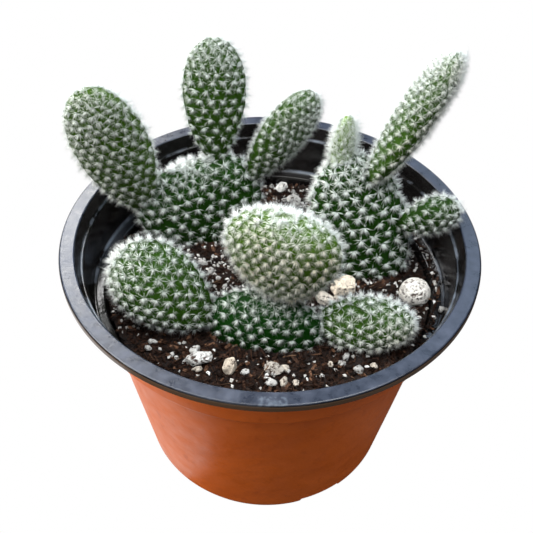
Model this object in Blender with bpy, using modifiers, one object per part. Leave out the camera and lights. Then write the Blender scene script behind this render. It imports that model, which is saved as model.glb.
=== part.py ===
"""A bunny ears cactus in a nursery pot: the pot, its soil, three plants of jointed pads, loose stones.

Blender 4.5, metres, +Z up. The origin is on the pot's axis, on the surface that the pot stands on.
The object's front faces -Y. Compass angles are seen from above: 0 is +X, 90 is +Y, 270 is the front.
"""

import bpy
import bmesh
from math import cos, hypot, log, pi, radians, sin, tan
from typing import NamedTuple

from mathutils import Matrix, Vector, noise

MM = 0.001
MERGE = 0.01 * MM
GAP = 0.3 * MM
SHARP_EDGE = radians(35)

# Driving sizes of the pot, which is formed from one sheet of plastic
RIM_RADIUS = 65.4 * MM
POT_HEIGHT = 92.6 * MM
SHEET = 0.9 * MM
POT_STEPS = 48
FOOT_OUTER = 42.4 * MM
FOOT_INNER = 36.0 * MM
BASE_RISE = 3.6 * MM
WALL_AT_BASE = 43.4 * MM
WALL_MIDDLE = 35.0 * MM
LEDGE_HEIGHT = 73.0 * MM
WALL_AT_LEDGE = 53.3 * MM
FRONT = 270

# Driving sizes of the soil, whose top tilts, bulges and has low mounds with small lumps on them
SOIL_LEVEL = 71.6 * MM
SOIL_RINGS = 11
SOIL_TILT_X = -0.9 * MM
SOIL_TILT_Y = -1.0 * MM
SOIL_DOME = 0.7 * MM
MOUND_HEIGHT = 0.9 * MM
MOUND_WIDTH = 26 * MM
LUMP_HEIGHT = 1.6 * MM
LUMP_WIDTH = 4 * MM
STONE_PROUD = 0.55

# Driving sizes of the tufts on the pads, and what each tuft keeps clear of
TUFT_HEIGHT = 1.9 * MM
TUFT_RADIUS = 0.8 * MM
TUFT_SPACING = 8.2 * MM
SMALLEST_DIAMOND = 0.7 * MM
CLEAR_OF_PADS = 1.0 * MM
CLEAR_OF_SOIL = 1.9 * MM
CLEAR_OF_STONES = 0.7 * MM
CLEAR_OF_RIM = 1.0 * MM

# Step of the finer skin that seats and holes are cut with, so that no corner of a pad reaches past it
SOCKET_STEP = 2.8 * MM


class Notch(NamedTuple):
    """A drain notch in the foot: degrees past the front, half its opening below and above, height in mm."""
    name: str
    past_front: float
    half_below: float
    half_above: float
    height: float


NOTCHES_EACH = 3
NOTCHES = [
    Notch("notch_wide", 27, 14.5, 9.5, 5.6),
    Notch("notch_small", -20, 5.5, 2.6, 2.4),
]


class Pad(NamedTuple):
    """A flat stem segment, with sizes in mm and angles in degrees.

    Its long axis leans away from upright towards a compass angle, and turn swings its face about that axis.
    Widest is where along its length it is broadest. Blunt is 2 for an ellipse, and more for a squarer end.
    Young is how far its green goes to yellow.
    """
    name: str
    parent: str
    base: tuple
    length: float
    width: float
    thick: float
    lean: float
    toward: float
    turn: float
    widest: float
    blunt: float
    young: float


PADS = [
    Pad("back_pad_base", "", (-17.5, 22.0, 63.0), 38.0, 42.5, 15.0, 18, 162, -57, 0.62, 2.4, 0.0),
    Pad("back_pad_left", "back_pad_base", (-42.5, 20.0, 84.0), 52, 23.5, 12.0, 16, 200, -100, 0.58, 2.0, 0.2),
    Pad("back_pad_middle", "back_pad_base", (-19.0, 27.5, 99.0), 41.5, 20.0, 11.0, 14, 90, 5, 0.60, 2.0, 0.2),
    Pad("back_pad_right", "back_pad_base", (-8.0, 28.0, 91.5), 38.0, 17.5, 11.0, 35, 18, -75, 0.60, 2.0, 0.2),
    Pad("right_pad_base", "", (35.5, 7.5, 62.0), 51.5, 31.5, 16.0, 18, 143, -44, 0.45, 2.2, 0.0),
    Pad("right_pad_bud", "right_pad_base", (21.0, 17.5, 99.0), 25.5, 7.5, 7.0, 5, 40, -68, 0.45, 2.2, 1.0),
    Pad("right_pad_long", "right_pad_base", (31.0, 12.5, 105.0), 47, 20, 11, 30, 24, -31, 0.57, 2.4, 0.4),
    Pad("right_pad_side", "right_pad_base", (41.0, 9.5, 89.0), 21.0, 13.5, 9.5, 60, -7, -80, 0.62, 2.0, 0.2),
    Pad("front_pad_base", "", (-2.5, -24.0, 62.0), 25.5, 37.0, 16.0, 8, 31, 52, 0.50, 2.2, 0.0),
    Pad("front_pad_left", "front_pad_base", (-17.5, -23.5, 76.5), 35.5, 24.5, 15, 57, 162, -48, 0.6, 2, 0.5),
    Pad("front_pad_top", "front_pad_base", (3.5, -19.5, 82.5), 35.0, 34.0, 16.0, 2, 273, -20, 0.68, 2.2, 0.7),
    Pad("front_pad_right", "front_pad_base", (15.0, -22.5, 77.0), 29.5, 16.5, 14, 85, -4, 40, 0.50, 2.0, 0.5),
]


class Stone(NamedTuple):
    """A loose stone on the soil. Its place and half sizes are in mm, and it is turned by degrees."""
    name: str
    place: tuple
    half: tuple
    turn: float
    detail: int
    rough: float
    tan: float


STONES = [
    Stone("stone_round_pumice", (47.6, -5.0), (4.8, 4.6, 4.4), 20, 3, 0.05, 0.35),
    Stone("stone_tan_large", (24.6, -4.6), (3.7, 3.2, 3.3), 35, 2, 0.16, 0.9),
    Stone("stone_tan_small", (18.3, -9.6), (2.6, 2.2, 2.2), -20, 2, 0.16, 0.8),
    Stone("stone_white_left", (-20.4, -36.2), (3.7, 2.6, 2.6), 15, 2, 0.22, 0.1),
    Stone("stone_tan_front", (-10.7, -38.6), (2.5, 2.2, 2.4), 60, 2, 0.18, 0.9),
    Stone("stone_crumb_front", (1.4, -38.2), (3.2, 2.1, 1.9), -10, 2, 0.24, 0.5),
    Stone("stone_white_back", (4.4, 49.4), (2.6, 2.2, 2.0), 10, 2, 0.12, 0.0),
    Stone("stone_grey_back", (8.4, 40.4), (2.4, 2.6, 1.9), 40, 2, 0.2, 0.1),
]


# Materials
def material(name, color, roughness):
    made = bpy.data.materials.new(name)
    made.use_nodes = True
    shader = made.node_tree.nodes["Principled BSDF"]
    shader.inputs["Base Color"].default_value = (*color, 1.0)
    shader.inputs["Roughness"].default_value = roughness
    shader.inputs["Metallic"].default_value = 0.0
    return made


def blend(first, second, share):
    return tuple(a + (b - a) * share for a, b in zip(first, second))


# Small helpers for objects
def add_object(name, mesh, collection, *materials):
    made = bpy.data.objects.new(name, mesh)
    collection.objects.link(made)
    for one in materials:
        mesh.materials.append(one)
    return made


def add_cutter(name, mesh, collection):
    cutter = add_object(name, mesh, collection)
    cutter.hide_render = True
    cutter.display_type = "WIRE"
    return cutter


def mesh_from(shape, name):
    """A mesh made of a bmesh, which is freed."""
    mesh = bpy.data.meshes.new(name)
    shape.to_mesh(mesh)
    shape.free()
    return mesh


def cut_away(target, name, cutters):
    """A Boolean that takes a collection of cutters, or a single one, out of the target."""
    cut = target.modifiers.new(name, "BOOLEAN")
    cut.operation = "DIFFERENCE"
    if isinstance(cutters, bpy.types.Collection):
        cut.operand_type = "COLLECTION"
        cut.collection = cutters
    else:
        cut.object = cutters


def turned(name, profile):
    """A surface of revolution about the Z axis, from a profile of (radius, height) points."""
    shape = bmesh.new()
    points = [shape.verts.new((radius, 0, height)) for radius, height in profile]
    for first, second in zip(points, points[1:]):
        shape.edges.new((first, second))
    made = bpy.data.objects.new(name, mesh_from(shape, name + "_profile"))
    screw = made.modifiers.new("Turn", "SCREW")
    screw.steps = POT_STEPS
    screw.render_steps = POT_STEPS
    screw.use_merge_vertices = True
    screw.merge_threshold = MERGE
    screw.use_smooth_shade = True
    return made


def evaluated_mesh(source, collection, name):
    """The mesh that an object's modifiers make. The object itself is only borrowed, and is removed."""
    collection.objects.link(source)
    depsgraph = bpy.context.evaluated_depsgraph_get()
    mesh = bpy.data.meshes.new_from_object(source.evaluated_get(depsgraph))
    mesh.name = name
    bpy.data.objects.remove(source)
    return mesh


# The pot: black inside and on the rim, terracotta outside
def wall_radius(height):
    """The inner radius of the pot's main wall, below its ledge."""
    share = (height - BASE_RISE) / (LEDGE_HEIGHT - BASE_RISE)
    return WALL_AT_BASE + (WALL_AT_LEDGE - WALL_AT_BASE) * share


def pot_profile():
    """The sheet's inner side: raised base, foot, wall, lower ledge, collar, upper ledge, rim and lip."""
    floor = BASE_RISE + SHEET
    top = POT_HEIGHT
    return [
        (0, floor),
        (FOOT_INNER - 2.4 * MM, floor),
        (FOOT_INNER - 1.6 * MM, floor - 0.6 * MM),
        (FOOT_INNER - 0.6 * MM, SHEET + 0.5 * MM),
        (FOOT_INNER + 0.4 * MM, SHEET),
        (FOOT_OUTER - 1.5 * MM, SHEET),
        (FOOT_OUTER - 0.4 * MM, SHEET + 0.9 * MM),
        (WALL_AT_BASE, BASE_RISE + 1.0 * MM),
        (wall_radius(WALL_MIDDLE), WALL_MIDDLE),
        (WALL_AT_LEDGE, LEDGE_HEIGHT),
        (WALL_AT_LEDGE + 0.5 * MM, LEDGE_HEIGHT + 0.6 * MM),
        (WALL_AT_LEDGE + 3.6 * MM, LEDGE_HEIGHT + 0.8 * MM),
        (WALL_AT_LEDGE + 4.1 * MM, LEDGE_HEIGHT + 1.5 * MM),
        (RIM_RADIUS - 6.6 * MM, top - 5.5 * MM),
        (RIM_RADIUS - 5.9 * MM, top - 4.8 * MM),
        (RIM_RADIUS - 5.0 * MM, top - 0.7 * MM),
        (RIM_RADIUS - 4.3 * MM, top),
        (RIM_RADIUS - 3.1 * MM, top - 0.5 * MM),
        (RIM_RADIUS - 2.2 * MM, top),
        (RIM_RADIUS - 0.7 * MM, top - 0.1 * MM),
        (RIM_RADIUS, top - 0.9 * MM),
        (RIM_RADIUS, top - 2.3 * MM),
    ]


def notch_cutter(notch, place, collection):
    """A wedge through the foot at a compass angle, wider below than above."""
    reach_in = FOOT_INNER - 0.9 * MM
    reach_out = FOOT_OUTER + 8 * MM
    below = -2 * MM
    shape = bmesh.new()
    bmesh.ops.create_cube(shape, size=1.0)
    for vertex in shape.verts:
        upper = vertex.co.z > 0
        half_width = FOOT_OUTER * tan(radians(notch.half_above if upper else notch.half_below))
        vertex.co = (
            reach_out if vertex.co.x > 0 else reach_in,
            half_width if vertex.co.y > 0 else -half_width,
            notch.height * MM if upper else below,
        )
    name = f"{notch.name}_{place}"
    cutter = add_cutter(name, mesh_from(shape, name), collection)
    cutter.rotation_euler.z = radians(FRONT + notch.past_front + 360 * place / NOTCHES_EACH)


def build_pot(parts, cutters):
    pot = turned("pot", pot_profile())
    parts.objects.link(pot)
    pot.data.materials.append(material("pot_inside_black", (0.012, 0.013, 0.017), 0.35))
    pot.data.materials.append(material("pot_outside_terracotta", (0.42, 0.13, 0.045), 0.5))
    sheet = pot.modifiers.new("Sheet", "SOLIDIFY")
    sheet.thickness = SHEET
    sheet.offset = -1
    sheet.use_even_offset = True
    sheet.material_offset = 1
    sheet.material_offset_rim = 1
    notches = bpy.data.collections.new("notch_cutters")
    cutters.children.link(notches)
    for place in range(NOTCHES_EACH):
        for notch in NOTCHES:
            notch_cutter(notch, place, notches)
    cut_away(pot, "Drain notches", notches)


# The soil, with low mounds and a rough top, and holes for what stands and lies in it
def soil_height(x, y):
    """Height of the soil's top without its lumps: higher at the front left, lower towards the wall."""
    out = hypot(x, y) / WALL_AT_LEDGE
    slope = (SOIL_TILT_X * x + SOIL_TILT_Y * y) / WALL_AT_LEDGE
    mound = MOUND_HEIGHT * noise.noise(Vector((x, y, 0)) / MOUND_WIDTH)
    return SOIL_LEVEL + slope + mound + SOIL_DOME * (1 - out ** 4)


def soil_profile():
    """The top, sides and underside of the soil, with its gap to the pot."""
    edge = wall_radius(SOIL_LEVEL - 1.6 * MM) - GAP
    floor = BASE_RISE + SHEET + GAP
    above_foot = 8.5 * MM
    top = [(edge * ring / SOIL_RINGS, SOIL_LEVEL) for ring in range(SOIL_RINGS + 1)]
    return top + [
        (wall_radius(WALL_MIDDLE) - GAP, WALL_MIDDLE),
        (wall_radius(above_foot) - 2 * GAP, above_foot),
        (FOOT_INNER + 3 * MM, floor + 0.2 * MM),
        (0, floor),
    ]


def build_soil(parts, hollows):
    bark = material("soil_dark_bark", (0.045, 0.022, 0.012), 0.95)
    mesh = evaluated_mesh(turned("soil_turned", soil_profile()), parts, "soil")
    for vertex in mesh.vertices:
        if abs(vertex.co.z - SOIL_LEVEL) < GAP:
            x, y = vertex.co.x, vertex.co.y
            lump = noise.noise(Vector((x, y, MOUND_WIDTH)) / LUMP_WIDTH)
            vertex.co.z = soil_height(x, y) + LUMP_HEIGHT * lump
    cut_away(add_object("soil", mesh, parts, bark), "Holes for pads and stones", hollows)


# The pads: egg-shaped discs whose skin is a net of diamonds, most of them raised to a tuft
def pad_matrix(pad):
    """Local +Z is the long axis, +Y the width and +X the thickness."""
    swing = Matrix.Rotation(radians(pad.toward), 4, "Z") @ Matrix.Rotation(radians(pad.lean), 4, "Y")
    return Matrix.Translation(Vector(pad.base) * MM) @ swing @ Matrix.Rotation(radians(pad.turn), 4, "Z")


def half_outline(pad, share):
    """Half the pad's breadth at a share of its length, as a part of its greatest half breadth."""
    shifted = share ** (log(0.5) / log(pad.widest))
    return max(0.0, 1 - abs(2 * shifted - 1) ** pad.blunt) ** (1 / pad.blunt)


def skin_point(pad, share, angle, grow=0.0):
    """A point of the pad's plain skin in its own axes, at a share of its length and an angle around it."""
    reach = half_outline(pad, share)
    return Vector((
        (pad.thick * MM / 2 + grow) * reach * cos(angle),
        (pad.width * MM / 2 + grow) * reach * sin(angle),
        (pad.length * MM + 2 * grow) * share - grow,
    ))


def inside_pad(pad, point, grow):
    """True where a point in the world lies in the pad's plain body, grown by a distance."""
    local = pad_matrix(pad).inverted() @ point
    share = (local.z + grow) / (pad.length * MM + 2 * grow)
    if not 0 < share < 1:
        return False
    reach = half_outline(pad, share)
    through = local.x / ((pad.thick * MM / 2 + grow) * reach)
    across = local.y / ((pad.width * MM / 2 + grow) * reach)
    return hypot(through, across) < 1


def meets_soil(pad):
    """True where the pad's plain body comes down to the highest lumps of the soil."""
    places = [(length / 8, pi * around / 4) for length in range(9) for around in range(8)]
    points = [pad_matrix(pad) @ skin_point(pad, share, angle) for share, angle in places]
    return any(point.z < soil_height(point.x, point.y) + LUMP_HEIGHT for point in points)


def pad_body(pad, spacing, grow=0.0):
    """The skin as diamonds: each ring of corners is turned half a step against the last one."""
    girth = pi * (pad.thick + pad.width) / 2 * MM
    columns = max(6, round(girth / spacing))
    rings = max(5, round(2 * pad.length * MM / spacing))
    step = 2 * pi / columns
    shape = bmesh.new()
    bottom = shape.verts.new(skin_point(pad, 0, 0, grow))
    top = shape.verts.new(skin_point(pad, 1, 0, grow))
    net = []
    for ring in range(rings):
        share = (1 - cos(pi * (ring + 1) / (rings + 1))) / 2
        angles = [step * (column + ring % 2 / 2) for column in range(columns)]
        net.append([shape.verts.new(skin_point(pad, share, angle, grow)) for angle in angles])
    for ring in range(rings):
        for column in range(columns):
            left = net[ring][column]
            right = net[ring][(column + 1) % columns]
            between = (column + ring % 2) % columns
            below = net[ring - 1][between] if ring else bottom
            above = net[ring + 1][between] if ring < rings - 1 else top
            shape.faces.new((left, below, right, above))
    bmesh.ops.recalc_face_normals(shape, faces=shape.faces)
    return shape


def tuft_is_free(pad, root, tip):
    """A tuft grows where it clears the soil, the pot's rim, the other pads and the stones."""
    from_axis = hypot(tip.x, tip.y)
    if min(root.z, tip.z) < soil_height(root.x, root.y) + CLEAR_OF_SOIL:
        return False
    if from_axis > RIM_RADIUS:
        return False
    if from_axis > WALL_AT_LEDGE + 3 * MM and tip.z < POT_HEIGHT + CLEAR_OF_RIM:
        return False
    for other in PADS:
        if other is not pad and any(inside_pad(other, end, CLEAR_OF_PADS) for end in (root, tip)):
            return False
    for stone in STONES:
        if (tip - stone_centre(stone)).length < max(stone.half) * MM + CLEAR_OF_STONES:
            return False
    return True


def raise_tufts(shape, pad):
    """Each free diamond gets a smaller one inset in it, whose middle is pulled out to the tuft's point."""
    world = pad_matrix(pad)
    for diamond in list(shape.faces):
        centre = diamond.calc_center_median()
        tip = centre + diamond.normal * (TUFT_HEIGHT + GAP)
        inner_radius = 2 * diamond.calc_area() / sum(edge.calc_length() for edge in diamond.edges)
        if inner_radius < SMALLEST_DIAMOND or not tuft_is_free(pad, world @ centre, world @ tip):
            continue
        border = max(inner_radius - TUFT_RADIUS, 0.3 * inner_radius)
        bmesh.ops.inset_individual(shape, faces=[diamond], thickness=border, use_even_offset=True)
        bmesh.ops.poke(shape, faces=[diamond], offset=TUFT_HEIGHT, center_mode="MEAN")


def build_pad(pad, parts, sockets):
    old_green = (0.035, 0.13, 0.025)
    young_green = (0.16, 0.34, 0.07)
    green = material(pad.name + "_green", blend(old_green, young_green, pad.young), 0.6)
    shape = pad_body(pad, TUFT_SPACING)
    raise_tufts(shape, pad)
    made = add_object(pad.name, mesh_from(shape, pad.name), parts, green)
    made.matrix_world = pad_matrix(pad)
    if pad.parent:
        cut_away(made, "Seat on the parent pad", sockets[pad.parent])


def grown_copy(pad, suffix, collection):
    """A cutter of the pad's plain body, grown all round by the gap."""
    name = pad.name + suffix
    cutter = add_cutter(name, mesh_from(pad_body(pad, SOCKET_STEP, GAP), name), collection)
    cutter.matrix_world = pad_matrix(pad)
    return cutter


# The stones: rounded lumps, each in a dimple of the soil
def stone_centre(stone):
    x, y = stone.place[0] * MM, stone.place[1] * MM
    return Vector((x, y, soil_height(x, y) + STONE_PROUD * stone.half[2] * MM))


def stone_mesh(stone, name, grow=0.0):
    """A sphere with dents, stretched to the stone's half sizes and grown by a distance."""
    dents_across = 1.7
    seed = Vector((*stone.place, 0))
    half = [size * MM + grow for size in stone.half]
    shape = bmesh.new()
    bmesh.ops.create_icosphere(shape, subdivisions=stone.detail, radius=1.0)
    for vertex in shape.verts:
        dent = 1 + stone.rough * noise.noise(vertex.co * dents_across + seed)
        vertex.co = [place * size * dent for place, size in zip(vertex.co, half)]
    return mesh_from(shape, name)


def build_stone(stone, parts, hollows):
    white = (0.72, 0.70, 0.67)
    sand = (0.62, 0.47, 0.28)
    rock = material(stone.name + "_rock", blend(white, sand, stone.tan), 0.9)
    dimple = stone.name + "_dimple"
    pieces = [
        add_object(stone.name, stone_mesh(stone, stone.name), parts, rock),
        add_cutter(dimple, stone_mesh(stone, dimple, GAP), hollows),
    ]
    for piece in pieces:
        piece.location = stone_centre(stone)
        piece.rotation_euler.z = radians(stone.turn)


def new_collection(name, parent):
    made = bpy.data.collections.new(name)
    parent.children.link(made)
    return made


def build():
    for old in list(bpy.data.objects):
        bpy.data.objects.remove(old)
    parts = new_collection("potted_bunny_ears_cactus", bpy.context.scene.collection)
    cutters = new_collection("cutters", bpy.context.scene.collection)
    hollows = new_collection("soil_hollows", cutters)
    build_pot(parts, cutters)
    sockets = {pad.name: grown_copy(pad, "_socket", cutters) for pad in PADS if not pad.parent}
    for pad in PADS:
        build_pad(pad, parts, sockets)
        if meets_soil(pad):
            grown_copy(pad, "_hole", hollows)
    for stone in STONES:
        build_stone(stone, parts, hollows)
    build_soil(parts, hollows)
    for made in parts.objects:
        made.data.shade_smooth()
        made.data.set_sharp_from_angle(angle=SHARP_EDGE)


build()
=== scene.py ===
"""Looks of a potted bunny ears cactus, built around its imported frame. Metres, +Z up, the front faces -Y."""

from math import cos, hypot, log, pi, radians, sin, tan
from typing import NamedTuple

import bmesh
import bpy
import numpy as np
from mathutils import Matrix, Vector, kdtree, noise


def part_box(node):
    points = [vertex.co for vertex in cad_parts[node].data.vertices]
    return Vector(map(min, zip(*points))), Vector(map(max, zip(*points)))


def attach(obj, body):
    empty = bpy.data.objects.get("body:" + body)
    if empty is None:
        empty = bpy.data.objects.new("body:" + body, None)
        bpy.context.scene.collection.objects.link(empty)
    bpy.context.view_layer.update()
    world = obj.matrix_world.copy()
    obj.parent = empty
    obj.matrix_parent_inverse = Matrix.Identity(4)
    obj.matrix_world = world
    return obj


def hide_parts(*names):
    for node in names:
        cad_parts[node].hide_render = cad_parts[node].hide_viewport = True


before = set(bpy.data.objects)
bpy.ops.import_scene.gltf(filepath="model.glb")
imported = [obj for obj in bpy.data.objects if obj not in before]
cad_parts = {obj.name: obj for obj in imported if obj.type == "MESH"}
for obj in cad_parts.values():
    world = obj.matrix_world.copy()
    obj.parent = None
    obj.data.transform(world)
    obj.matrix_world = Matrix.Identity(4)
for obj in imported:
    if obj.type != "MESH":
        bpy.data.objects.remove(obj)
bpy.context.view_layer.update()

# The pot is formed from one warm sheet of plastic, black over terracotta: a raised base, a notched foot,
# a tapered wall, two ledges that let pots stack without jamming, and a rim rolled over into a lip.
# Here its section is turned, given the sheet's thickness, and notched.
MM = 0.001
RIM_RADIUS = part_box("pot")[1].x
POT_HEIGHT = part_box("pot")[1].z
SHEET = 0.9 * MM
POT_STEPS = 192
FOOT_OUTER = 42.4 * MM
FOOT_INNER = 36.0 * MM
BASE_RISE = 3.6 * MM
WALL_AT_BASE = 43.4 * MM
WALL_MIDDLE = 35.0 * MM
LEDGE_HEIGHT = 73.0 * MM
WALL_AT_LEDGE = 53.3 * MM
WALL_LEDGE_EDGE = LEDGE_HEIGHT + 1.2 * MM
RIM_LEDGE_EDGE = POT_HEIGHT - 4.9 * MM
LEDGE_EDGES = (WALL_LEDGE_EDGE, RIM_LEDGE_EDGE)
FRONT = 270
NOTCHES_EACH = 3
FORMED_CORNER = 0.32 * MM


class Notch(NamedTuple):
    """A drain notch in the foot: degrees past the front, half its opening below and above, height in mm."""
    name: str
    past_front: float
    half_below: float
    half_above: float
    height: float


NOTCHES = [
    Notch("notch_wide", 27, 14.5, 9.5, 5.6),
    Notch("notch_small", -20, 5.5, 2.6, 2.4),
]


def add_node(tree, kind, inputs=None, **settings):
    """Adds a node with its settings. Each input takes a value, or a socket that is linked to it."""
    made = tree.nodes.new(kind)
    for name, value in settings.items():
        setattr(made, name, value)
    for key, value in (inputs or {}).items():
        if isinstance(value, bpy.types.NodeSocket):
            tree.links.new(value, made.inputs[key])
        else:
            made.inputs[key].default_value = value
    return made


def new_finish(name, roughness):
    """A material: its node tree, its shader and the place on the object that its patterns read."""
    made = bpy.data.materials.new(name)
    made.use_nodes = True
    tree = made.node_tree
    shader = tree.nodes["Principled BSDF"]
    shader.inputs["Roughness"].default_value = roughness
    place = add_node(tree, "ShaderNodeTexCoord").outputs["Object"]
    return made, tree, shader, place


def speckle(tree, place, size, detail=3.0, low=0.35, high=0.65, stretch=(1, 1, 1)):
    """A noise pattern of a grain size in metres, spread over 0 to 1 between two of its levels."""
    scaled = add_node(tree, "ShaderNodeVectorMath", {0: place, 1: stretch}, operation="MULTIPLY")
    pattern = add_node(tree, "ShaderNodeTexNoise", {"Vector": scaled.outputs[0], "Scale": 1 / size, "Detail": detail})
    spread = {"Value": pattern.outputs["Fac"], "From Min": low, "From Max": high}
    return add_node(tree, "ShaderNodeMapRange", spread).outputs[0]


def ramp(tree, value, start, end):
    """0 at the start value and 1 at the end value, smooth between them."""
    span = {"Value": value, "From Min": start, "From Max": end}
    return add_node(tree, "ShaderNodeMapRange", span, interpolation_type="SMOOTHSTEP").outputs[0]


def times(tree, first, second):
    return add_node(tree, "ShaderNodeMath", {0: first, 1: second}, operation="MULTIPLY").outputs[0]


def mix(tree, share, first, second):
    """A mix of two colours, each a socket or three numbers."""
    made = add_node(tree, "ShaderNodeMix", data_type="RGBA")
    tree.links.new(share, made.inputs["Factor"])
    for label, color in (("A", first), ("B", second)):
        socket = next(one for one in made.inputs if one.name == label and one.type == "RGBA")
        if isinstance(color, bpy.types.NodeSocket):
            tree.links.new(color, socket)
        else:
            socket.default_value = (*color, 1)
    return next(one for one in made.outputs if one.type == "RGBA")


def relief(tree, shader, height, depth):
    """Gives the surface a fine relief of a depth in metres."""
    bump = add_node(tree, "ShaderNodeBump", {"Height": height, "Distance": depth})
    tree.links.new(bump.outputs[0], shader.inputs["Normal"])


def mesh_from(shape, name):
    mesh = bpy.data.meshes.new(name)
    shape.to_mesh(mesh)
    shape.free()
    return mesh


def add_piece(name, mesh, *finishes):
    made = bpy.data.objects.new(name, mesh)
    bpy.context.scene.collection.objects.link(made)
    for one in finishes:
        mesh.materials.append(one)
    return made


def settle(piece, sharp_angle=None):
    """Turns the piece's modifiers into plain mesh, shades it smooth, and keeps it at the origin."""
    evaluated = piece.evaluated_get(bpy.context.evaluated_depsgraph_get())
    mesh = bpy.data.meshes.new_from_object(evaluated)
    piece.modifiers.clear()
    piece.data = mesh
    mesh.shade_smooth()
    if sharp_angle:
        mesh.set_sharp_from_angle(angle=radians(sharp_angle))


def turned(name, profile, steps):
    """A surface of revolution about the Z axis, from a profile of (radius, height) points."""
    shape = bmesh.new()
    points = [shape.verts.new((radius, 0, height)) for radius, height in profile]
    for first, second in zip(points, points[1:]):
        shape.edges.new((first, second))
    made = add_piece(name, mesh_from(shape, name))
    screw = made.modifiers.new("Turn", "SCREW")
    screw.steps = steps
    screw.render_steps = steps
    screw.use_merge_vertices = True
    screw.merge_threshold = 0.01 * MM
    return made


def wall_radius(height):
    """The inner radius of the pot's main wall, below its ledge."""
    share = (height - BASE_RISE) / (LEDGE_HEIGHT - BASE_RISE)
    return WALL_AT_BASE + (WALL_AT_LEDGE - WALL_AT_BASE) * share


def rounded(points, radius, steps=3):
    """An open outline with each inner corner cut back by a radius and bent round in a few steps.

    A point a little before and after each bend keeps the smooth shading of the flats between them flat.
    """
    ends = [Vector(point) for point in points]
    made = [ends[0]]
    for before, corner, after in zip(ends, ends[1:], ends[2:]):
        reach = min(radius, (corner - before).length * 0.28, (after - corner).length * 0.28)
        back = (before - corner).normalized() * reach
        ahead = (after - corner).normalized() * reach
        made.append(corner + back * 1.6)
        for step in range(steps + 1):
            share = step / steps
            made.append(corner + back * (1 - share) ** 2 + ahead * share ** 2)
        made.append(corner + ahead * 1.6)
    return made + [ends[-1]]


def pot_section():
    """The sheet's inner side: raised base, foot, wall, lower ledge, collar, upper ledge, rim and lip."""
    floor = BASE_RISE + SHEET
    top = POT_HEIGHT
    corners = [
        (0, floor),
        (FOOT_INNER - 2.4 * MM, floor),
        (FOOT_INNER - 1.6 * MM, floor - 0.6 * MM),
        (FOOT_INNER - 0.6 * MM, SHEET + 0.5 * MM),
        (FOOT_INNER + 0.4 * MM, SHEET),
        (FOOT_OUTER - 1.5 * MM, SHEET),
        (FOOT_OUTER - 0.4 * MM, SHEET + 0.9 * MM),
        (WALL_AT_BASE, BASE_RISE + 1.0 * MM),
        (wall_radius(WALL_MIDDLE), WALL_MIDDLE),
        (WALL_AT_LEDGE, LEDGE_HEIGHT),
        (WALL_AT_LEDGE + 0.5 * MM, LEDGE_HEIGHT + 0.6 * MM),
        (WALL_AT_LEDGE + 2.9 * MM, LEDGE_HEIGHT + 0.7 * MM),
        (WALL_AT_LEDGE + 3.1 * MM, LEDGE_HEIGHT + 1.0 * MM),
        (WALL_AT_LEDGE + 3.6 * MM, LEDGE_HEIGHT + 1.0 * MM),
        (WALL_AT_LEDGE + 4.1 * MM, LEDGE_HEIGHT + 1.8 * MM),
        (RIM_RADIUS - 6.8 * MM, top - 5.5 * MM),
        (RIM_RADIUS - 6.5 * MM, top - 5.0 * MM),
        (RIM_RADIUS - 6.1 * MM, top - 5.0 * MM),
        (RIM_RADIUS - 5.7 * MM, top - 4.3 * MM),
        (RIM_RADIUS - 4.9 * MM, top - 0.4 * MM),
        (RIM_RADIUS - 4.5 * MM, top),
        (RIM_RADIUS - 0.5 * MM, top),
        (RIM_RADIUS, top - 0.6 * MM),
        (RIM_RADIUS, top - 2.3 * MM),
    ]
    return rounded(corners, FORMED_CORNER)


def notch_cutter(notch, place):
    """A wedge through the foot at a compass angle, wider below than above."""
    reach_in = FOOT_INNER - 0.9 * MM
    reach_out = FOOT_OUTER + 8 * MM
    shape = bmesh.new()
    bmesh.ops.create_cube(shape, size=1.0)
    for vertex in shape.verts:
        upper = vertex.co.z > 0
        half_width = FOOT_OUTER * tan(radians(notch.half_above if upper else notch.half_below))
        vertex.co = (
            reach_out if vertex.co.x > 0 else reach_in,
            half_width if vertex.co.y > 0 else -half_width,
            notch.height * MM if upper else -2 * MM,
        )
    cutter = add_piece(notch.name, mesh_from(shape, notch.name))
    cutter.rotation_euler.z = radians(FRONT + notch.past_front + 360 * place / NOTCHES_EACH)
    return cutter


def rubbed_patch(tree, place):
    """1 on the patch of the rim's front that is rubbed pale."""
    split = add_node(tree, "ShaderNodeSeparateXYZ", {0: place})
    across = times(tree, ramp(tree, split.outputs["X"], -2.6 * MM, -2.1 * MM),
                   ramp(tree, split.outputs["X"], 5.6 * MM, 5.0 * MM))
    outer = ramp(tree, split.outputs["Y"], 3.4 * MM - RIM_RADIUS, 2.9 * MM - RIM_RADIUS)
    worn = speckle(tree, place, 1.2 * MM, 4, 0.40, 0.62)
    return times(tree, times(tree, across, outer), worn)


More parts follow.
